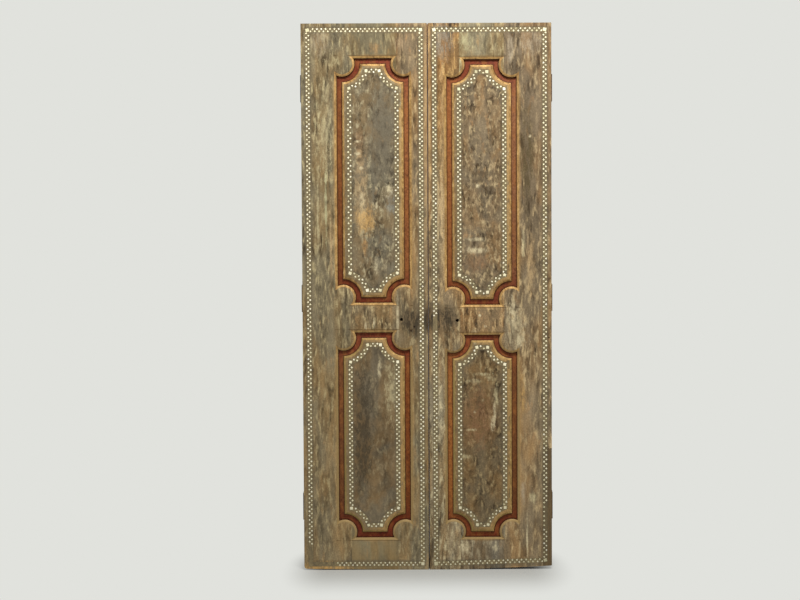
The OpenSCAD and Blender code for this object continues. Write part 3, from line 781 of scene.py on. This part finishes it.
@dataclass(frozen=True)
class ShellFinish:
    """Shell chips: pale cream, each its own tone, duller near the foot."""

    dull_z: float = 0.75

    def material(self) -> bpy.types.Material:
        """Builds the shell, whose colour drifts within a chip as nacre does.

        Returns:
            The finished material.
        """
        skin = Finish(bpy.data.materials.new("mother of pearl"))
        coords = skin.add("TexCoord", out="Object")
        tone = skin.add("Attribute", out="Fac", attribute_name="chip_tone")
        drift = skin.add("TexNoise", {"Vector": coords, "Scale": 260.0, "Detail": 2.0})
        value = skin.add("Math", {0: drift, 1: 0.35, 2: tone}, **TIMES_PLUS)
        value = skin.add("MapRange", {0: value, 1: 0.1, 2: 1.2})
        colour = skin.add(
            "ValToRGB", {0: value},
            stops=((0.0, "AFA681"), (1.0, "FFFAE6"), (0.3, "DFD5AA"), (0.6, "F5EBC6"), (0.8, "FBF3D6")),
        )
        z = skin.add("SeparateXYZ", {0: coords}, out=2)
        low = skin.add("MapRange", {0: z, 1: self.dull_z, 2: 0.0, 4: 0.5})
        colour = skin.add("Mix", {0: low, 6: colour, 7: paint("8F8B70")}, **COLOURS)
        ripple = skin.add("TexNoise", {"Vector": coords, "Scale": 900.0, "Detail": 1.0})
        normal = skin.add("Bump", {"Height": ripple, "Strength": 0.25, "Distance": 0.3 * MM})
        shader = skin.add(
            "BsdfPrincipled",
            {"Base Color": colour, "Roughness": 0.32, "Normal": normal, "Specular IOR Level": 0.6},
        )
        skin.add("OutputMaterial", {"Surface": shader})
        return skin.owner


# Where a stain begins and is full, beside the repair strip of the right leaf: X and Z in metres
STAIN_SIDE = (0.42, 0.43)
STAIN_TOP = (0.485, 0.465)


@dataclass(frozen=True)
class PlainFinish:
    """A finish of two tones broken by noise: its colours, the size of its marks, its gloss and its stain."""

    name: str
    low: str
    high: str
    size: tuple[float, float, float]
    rough: float
    metal: float = 0.0
    bump: float = 0.4
    stain: str = ""

    def material(self) -> bpy.types.Material:
        """Builds the finish from one broad and one fine noise.

        Returns:
            The finished material.
        """
        skin = Finish(bpy.data.materials.new(self.name))
        coords = skin.add("TexCoord", out="Object")
        scale = tuple(1.0 / (s * MM) for s in self.size)
        where = skin.add("Mapping", {"Vector": coords, "Scale": scale})
        broad = skin.add("TexNoise", {"Vector": where, "Scale": 1.0, "Detail": 5.0, "Roughness": 0.65})
        fine = skin.add("TexNoise", {"Vector": where, "Scale": 5.0, "Detail": 2.0})
        value = skin.add("Math", {0: fine, 1: 0.5, 2: broad}, **TIMES_PLUS)
        value = skin.add("MapRange", {0: value, 1: 0.45, 2: 1.05})
        colour = skin.add("ValToRGB", {0: value}, stops=((0.0, self.low), (1.0, self.high)))
        if self.stain:
            x = skin.add("SeparateXYZ", {0: coords})
            z = x.node.outputs[2]
            below = skin.add("MapRange", {0: z, 1: STAIN_TOP[0], 2: STAIN_TOP[1], 4: 0.5}, **EASED)
            beside = skin.add("MapRange", {0: x, 1: STAIN_SIDE[0], 2: STAIN_SIDE[1]}, **EASED)
            stained = skin.add("Math", {0: below, 1: beside}, **TIMES)
            colour = skin.add("Mix", {0: stained, 6: colour, 7: paint(self.stain)}, **COLOURS)
        rough = skin.add("MapRange", {0: broad, 3: self.rough - 0.12, 4: self.rough + 0.12})
        normal = skin.add("Bump", {"Height": value, "Strength": self.bump, "Distance": 0.5 * MM})
        shader = skin.add(
            "BsdfPrincipled",
            {"Base Color": colour, "Roughness": rough, "Metallic": self.metal, "Normal": normal},
        )
        skin.add("OutputMaterial", {"Surface": shader})
        return skin.owner


# Resin and lamp black, hidden under the same grime as the paint
MASTIC = PlainFinish("dark mastic", "4B402D", "8E7D57", (14.0, 14.0, 30.0), 0.8, stain="463922")
# Wrought iron with a thin skin of rust
IRON = PlainFinish("rusted wrought iron", "2B231D", "5C4230", (9.0, 9.0, 9.0), 0.62, 0.7)
# Pegs of a darker, harder wood
PEG_WOOD = PlainFinish("peg wood", "3A2A1A", "6A4C30", (3.0, 3.0, 3.0), 0.75)
# Repair strip of raw brown wood, grain upright
PATCH_WOOD = PlainFinish("dark repair strip wood", "3A2D19", "725B37", (6.0, 30.0, 90.0), 0.78)


def loose_copy(node: str, flat: float) -> bmesh.types.BMesh:
    """Reads a node's triangles, joins them into solids and merges what is flat.

    Args:
        node: Name of the CAD node.
        flat: Angle up to which neighbouring faces are one, in degrees.

    Returns:
        A merged bmesh in metres.
    """
    bm = bmesh.new()
    bm.from_mesh(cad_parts[node].data)
    bmesh.ops.remove_doubles(bm, verts=bm.verts[:], dist=MERGE)
    bmesh.ops.dissolve_limit(
        bm, angle_limit=math.radians(flat), verts=bm.verts[:], edges=bm.edges[:], delimit=set()
    )
    return bm


def round_edges(
    bm: bmesh.types.BMesh, edges: list[bmesh.types.BMEdge], width: float
) -> list[bmesh.types.BMFace]:
    """Rounds edges as wear does.

    Args:
        bm: The mesh.
        edges: The edges to round.
        width: Width of the rounding on each side, in millimetres.

    Returns:
        The new faces.
    """
    made = bmesh.ops.bevel(
        bm, geom=edges, offset=width * MM, offset_type="OFFSET",
        affect="EDGES", segments=2, profile=0.5, material=-1, clamp_overlap=True,
    )
    return made["faces"]


def sharp_edges(bm: bmesh.types.BMesh, angle: float) -> list[bmesh.types.BMEdge]:
    """Lists the edges whose two faces meet at more than an angle, in degrees."""
    limit = math.radians(angle)
    return [e for e in bm.edges if len(e.link_faces) == 2 and e.calc_face_angle(0.0) > limit]


def islands(bm: bmesh.types.BMesh) -> list[list[bmesh.types.BMVert]]:
    """Splits a mesh into its separate solids.

    Args:
        bm: The mesh.

    Returns:
        The vertices of each solid.
    """
    seen: set[int] = set()
    groups = []
    bm.verts.index_update()
    for start in bm.verts:
        if start.index in seen:
            continue
        seen.add(start.index)
        group, queue = [], [start]
        while queue:
            vert = queue.pop()
            group.append(vert)
            for edge in vert.link_edges:
                other = edge.other_vert(vert)
                if other.index not in seen:
                    seen.add(other.index)
                    queue.append(other)
        groups.append(group)
    return groups


def put(
    bm: bmesh.types.BMesh, name: str, body: str, node: str, material: bpy.types.Material
) -> None:
    """Turns a bmesh into a piece that stands for a CAD node.

    Args:
        bm: The finished mesh, which is freed.
        name: Name of the new piece.
        body: The body that it rides on.
        node: The CAD node that it stands for.
        material: The piece's finish.
    """
    mesh = bpy.data.meshes.new(name)
    bm.to_mesh(mesh)
    bm.free()
    mesh.materials.append(material)
    piece = bpy.data.objects.new(name, mesh)
    bpy.context.scene.collection.objects.link(piece)
    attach(piece, body)
    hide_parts(node)
    LOG.info("%s: %d faces on %s", name, len(mesh.polygons), body)


@dataclass
class Leaf:
    """One leaf of the door: its boards, panels, shell bands and iron, in millimetres and degrees."""

    side: Side
    tones: dict[str, BoardTone]
    edge_round: float = 0.9
    chip_bevel: float = 0.7
    chip_turn: float = 16.0
    mastic_lift: float = 1.1
    flat_board: float = 0.6
    flat_chip: float = 1.0
    chip_seed: int = 11
    square_reach: float = 6.0
    square_worn: float = 0.82
    frames: tuple[str, ...] = ("outer_stile", "meeting_stile", "top_rail", "lock_rail", "bottom_rail")
    panels: tuple[str, ...] = ("upper_panel", "lower_panel")
    bands: tuple[str, ...] = ("border", "upper", "lower")

    def name(self, part: str) -> str:
        """Names a node of this leaf."""
        return f"{self.side.value}_{part}"

    @property
    def body(self) -> str:
        """The body that the leaf's pieces ride on."""
        return self.name("leaf")

    def dress_board(self, part: str, kind: Kind) -> None:
        """Softens a board's edges as wear has done, and paints it.

        Args:
            part: Name of the board in this leaf.
            kind: Whether it belongs to the frame or is a panel.
        """
        node = self.name(part)
        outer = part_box(self.name("outer_stile"))
        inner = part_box(self.name("meeting_stile"))
        low = min(outer[0].x, inner[0].x) / MM
        high = max(outer[1].x, inner[1].x) / MM
        board = PaintedBoard(
            node=node,
            kind=kind,
            tone=self.tones[part],
            lower=Opening.of_panel(self.name("lower_panel")),
            upper=Opening.of_panel(self.name("upper_panel")),
            front=outer[0].y / MM,
            leaf_x=(low + high) / 2,
            leaf_half=(high - low) / 2,
            leaf_top=outer[1].z / MM,
        )
        bm = loose_copy(node, self.flat_board)
        rub = bm.faces.layers.float.new("rub")
        for face in round_edges(bm, board.worn_edges(bm), self.edge_round):
            face[rub] = 1.0
        for face in bm.faces:
            face.smooth = True
        for edge in sharp_edges(bm, SHADED_ANGLE):
            edge.smooth = False
        put(bm, f"{node}_board", self.body, node, board.material())

    def dress_band(self, band: str, shell: bpy.types.Material, mastic: bpy.types.Material) -> None:
        """Sets the chips of a band one by one, each a little turned, and brings the mastic up round them.

        Args:
            band: Which band of the leaf.
            shell: Finish of the chips.
            mastic: Finish of the bed.
        """
        node = self.name(f"{band}_shells")
        chance = random.Random(f"{node} {self.chip_seed}")
        bm = loose_copy(node, self.flat_chip)
        tone = bm.faces.layers.float.new("chip_tone")
        for chip in islands(bm):
            middle = sum((v.co for v in chip), Vector()) / len(chip)
            size = chance.uniform(0.96, 1.1)
            if band != "border" and max((v.co - middle).length for v in chip) > self.square_reach * MM:
                # The squares of the rings have worn smaller than those of the border
                size *= self.square_worn
            turn = Matrix.Rotation(math.radians(chance.uniform(-self.chip_turn, self.chip_turn)), 4, "Y")
            shape = turn @ Matrix.Diagonal((size, 1.0, size * chance.uniform(0.94, 1.04), 1.0))
            bmesh.ops.transform(bm, matrix=shape, space=Matrix.Translation(-middle), verts=chip)
            value = min(1.0, max(0.0, chance.gauss(0.5, 0.2)))
            for face in {f for v in chip for f in v.link_faces}:
                face[tone] = value
        front = min(v.co.y for v in bm.verts)
        rims = [e for e in bm.edges if all(abs(v.co.y - front) < 1e-5 for v in e.verts)]
        round_edges(bm, rims, self.chip_bevel)
        for face in bm.faces:
            face.smooth = len(face.verts) == 4 and abs(face.normal.y) < 0.99
        put(bm, f"{node}_set", self.body, node, shell)
        node = self.name(f"{band}_mastic")
        bm = loose_copy(node, self.flat_board)
        front = min(v.co.y for v in bm.verts)
        for vert in bm.verts:
            if vert.co.y < front + 0.1 * MM:
                vert.co.y -= self.mastic_lift * MM
        put(bm, f"{node}_bed", self.body, node, mastic)

    def dress(self, finishes: dict[str, bpy.types.Material]) -> None:
        """Dresses every piece of the leaf.

        Args:
            finishes: Shared finishes by name.
        """
        for part in self.frames:
            self.dress_board(part, Kind.FRAME)
        for part in self.panels:
            self.dress_board(part, Kind.PANEL)
        for band in self.bands:
            self.dress_band(band, finishes["shell"], finishes["mastic"])
        plain = {"tenon_pegs": "peg", "leaf_flaps": "iron", "flap_screws": "iron",
                 "jamb_flaps": "iron", "hinge_pins": "iron"}
        if self.side is Side.RIGHT:
            plain["edge_patch"] = "patch"
        for part, finish in plain.items():
            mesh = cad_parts[self.name(part)].data
            mesh.materials.clear()
            mesh.materials.append(finishes[finish])
            LOG.info("%s: %s", self.name(part), finish)


@dataclass
class Studio:
    """Camera, lamps, floor and backdrop of the photograph: metres, degrees and pixels."""

    image: tuple[int, int] = (800, 600)
    distance: float = 5.6
    span: float = 2.999
    centre_px: tuple[float, float] = (426.8, 298.1)
    roll: float = 0.25
    tilt: float = 2.1
    backdrop: str = "E1E2DD"
    sensor: float = 36.0
    shadow_in: float = 0.1

    def camera(self, front: float, height: float) -> None:
        """Sets the camera straight in front of the door, a little above its middle and looking down.

        Args:
            front: Y of the door's face, in metres.
            height: Height of the door, in metres.
        """
        data = bpy.data.cameras.new("camera")
        data.sensor_width = self.sensor
        data.lens = self.sensor * self.distance / self.span
        per_px = self.span / self.image[0]
        data.shift_x = (self.image[0] / 2 - self.centre_px[0]) / self.image[0]
        middle = height / 2 + (self.centre_px[1] - self.image[1] / 2) * per_px
        down = math.radians(self.tilt)
        away = self.distance * math.cos(down)
        eye = middle + self.distance * math.sin(down)
        camera = bpy.data.objects.new("camera", data)
        camera.matrix_world = (
            Matrix.Translation((0.0, front - away, eye))
            @ Matrix.Rotation(math.radians(self.roll), 4, "Y")
            @ Matrix.Rotation(math.radians(90.0) - down, 4, "X")
        )
        bpy.context.scene.collection.objects.link(camera)
        bpy.context.scene.camera = camera

    def lamp(
        self, name: str, place: tuple[float, float, float], aim: tuple[float, float, float],
        size: tuple[float, float], power: float,
    ) -> None:
        """Hangs one soft rectangular lamp.

        Args:
            name: Name of the lamp.
            place: Where it hangs, in metres.
            aim: The point that it faces.
            size: Its width and height.
            power: Its power in watts.
        """
        data = bpy.data.lights.new(name, "AREA")
        data.shape = "RECTANGLE"
        data.size, data.size_y = size
        data.energy = power
        lamp = bpy.data.objects.new(name, data)
        lamp.location = place
        lamp.rotation_euler = (Vector(aim) - Vector(place)).to_track_quat("-Z", "Y").to_euler()
        bpy.context.scene.collection.objects.link(lamp)

    def world(self, strength: float) -> None:
        """Fills the room with soft light, and shows the pale backdrop to the camera.

        Args:
            strength: Level of the fill light.
        """
        room = Finish(bpy.data.worlds.new("studio"))
        bpy.context.scene.world = room.owner
        seen = room.seen()
        fill = room.add("Background", {"Color": paint("FFFDF8"), "Strength": strength})
        back = room.add("Background", {"Color": paint(self.backdrop)})
        surface = room.add("MixShader", {0: seen, 1: fill, 2: back})
        room.add("OutputWorld", {"Surface": surface})

    def floor(
        self, size: float, foot: tuple[float, float, float], squeeze: float, near: float, far: float,
        albedo: str,
    ) -> None:
        """Lays a pale floor that takes the door's shadow near its foot and fades into the backdrop; near the
        door it is greyer than the backdrop, a painted shadow added to the real one.

        Args:
            size: Side of the floor, in metres.
            foot: Half sizes of the ground whose shadow is full.
            squeeze: How much faster the floor fades to the sides than to the front.
            near: Distance from the door up to which the floor is lit as it is.
            far: Distance at which only the backdrop's colour is left.
            albedo: Colour of the floor near the door, greyer than the backdrop: a painted shadow.
        """
        bm = bmesh.new()
        bmesh.ops.create_grid(bm, x_segments=8, y_segments=8, size=size / 2)
        mesh = bpy.data.meshes.new("floor")
        bm.to_mesh(mesh)
        bm.free()
        skin = Finish(bpy.data.materials.new("pale studio floor"))
        coords = skin.add("TexCoord", out="Object")
        reach = skin.add("VectorMath", {0: coords}, **UNSIGNED)
        past = skin.add("VectorMath", {0: reach, 1: foot}, **MINUS)
        past = skin.add("VectorMath", {0: past, 1: (0.0, 0.0, 0.0)}, **LARGER)
        past = skin.add("VectorMath", {0: past, 1: (squeeze, 1.0, 1.0)}, **TIMES)
        away = skin.add("VectorMath", {0: past}, **LENGTH)
        fade = skin.add("MapRange", {0: away, 1: near, 2: far}, **EASED)
        share = skin.add("Math", {0: skin.seen(), 1: fade}, **TIMES)
        lit = skin.add("BsdfDiffuse", {"Color": paint(albedo)})
        plain = skin.add("Emission", {"Color": paint(self.backdrop)})
        surface = skin.add("MixShader", {0: share, 1: lit, 2: plain})
        skin.add("OutputMaterial", {"Surface": surface})
        mesh.materials.append(skin.owner)
        floor = bpy.data.objects.new("floor", mesh)
        bpy.context.scene.collection.objects.link(floor)


# How the boards of the two leaves differ
LEFT_TONES = {
    "outer_stile": BoardTone("C4C1B2", "D0C9B6", ("7E4226", "7E4226"), 0.3, 1.0, 1.0),
    "meeting_stile": BoardTone("D2C4B1", "D1CDBD", ("8E4C2E", "8E4C2E"), 0.75, 0.9, 2.0),
    "top_rail": BoardTone("BCB9A8", "BCB9A8", ("7A3B22", "7A3B22"), 0.5, 0.7, 3.0),
    "lock_rail": BoardTone("BFB6A4", "BFB6A4", ("8A4830", "8A4830"), 0.6, 1.6, 4.0),
    "bottom_rail": BoardTone("CBC6B0", "CBC6B0", ("7E4326", "7E4326"), 0.35, 0.3, 5.0),
    "upper_panel": BoardTone("BDBCB5", "BDBCB5", ("885128", "9D6237"), 0.4, 0.95, 6.0),
    "lower_panel": BoardTone("B6B0A5", "B6B0A5", ("7A4E2C", "884A1F"), 0.25, 0.65, 7.0),
}
RIGHT_TONES = {
    "outer_stile": BoardTone("C6B9AA", "E3D6C3", ("8E4C2C", "8E4C2C"), 0.3, 1.0, 8.0),
    "meeting_stile": BoardTone("CEB28C", "DAD8CF", ("96522C", "96522C"), 0.4, 1.5, 9.0),
    "top_rail": BoardTone("DAD8C8", "DAD8C8", ("9A3E2C", "9A3E2C"), 0.6, 0.85, 10.0),
    "lock_rail": BoardTone("CEBBA2", "CEBBA2", ("8E4A2A", "8E4A2A"), 0.7, 1.6, 11.0),
    "bottom_rail": BoardTone("B9B8B6", "B9B8B6", ("7A4024", "7A4024"), 0.35, 1.3, 12.0),
    "upper_panel": BoardTone("C4B9AA", "C4B9AA", ("A46535", "986744"), 0.6, 1.1, 13.0),
    "lower_panel": BoardTone("AFA491", "AFA491", ("B06F35", "7B4E29"), 0.5, 1.3, 14.0),
}


def main() -> None:
    """Builds the leaves and the studio in order."""
    finishes = {
        "shell": ShellFinish().material(),
        "mastic": MASTIC.material(),
        "iron": IRON.material(),
        "peg": PEG_WOOD.material(),
        "patch": PATCH_WOOD.material(),
    }
    Leaf(Side.LEFT, LEFT_TONES).dress(finishes)
    Leaf(Side.RIGHT, RIGHT_TONES).dress(finishes)
    high = CAD_BOX[1]
    studio = Studio()
    studio.camera(front=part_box("left_outer_stile")[0].y, height=high[2])
    studio.world(strength=0.31)
    studio.lamp("key", place=(0.5, -2.1, 4.1), aim=(0.0, 0.0, 1.1), size=(1.2, 0.8), power=150.0)
    studio.lamp("fill", place=(-1.2, -3.6, 1.5), aim=(0.0, 0.0, 0.9), size=(1.6, 2.0), power=20.0)
    # The floor near the door is greyer than the backdrop: a painted shadow on top of the door's real one
    studio.floor(
        size=24.0, foot=(high[0] - studio.shadow_in, high[1], 0.0), squeeze=2.4, near=0.02, far=0.46,
        albedo="B6B7B3",
    )
    bpy.context.scene.view_settings.view_transform = "Standard"


if __name__ == "__main__":
    logging.basicConfig(level=logging.INFO, format="%(name)s %(message)s")
    main()
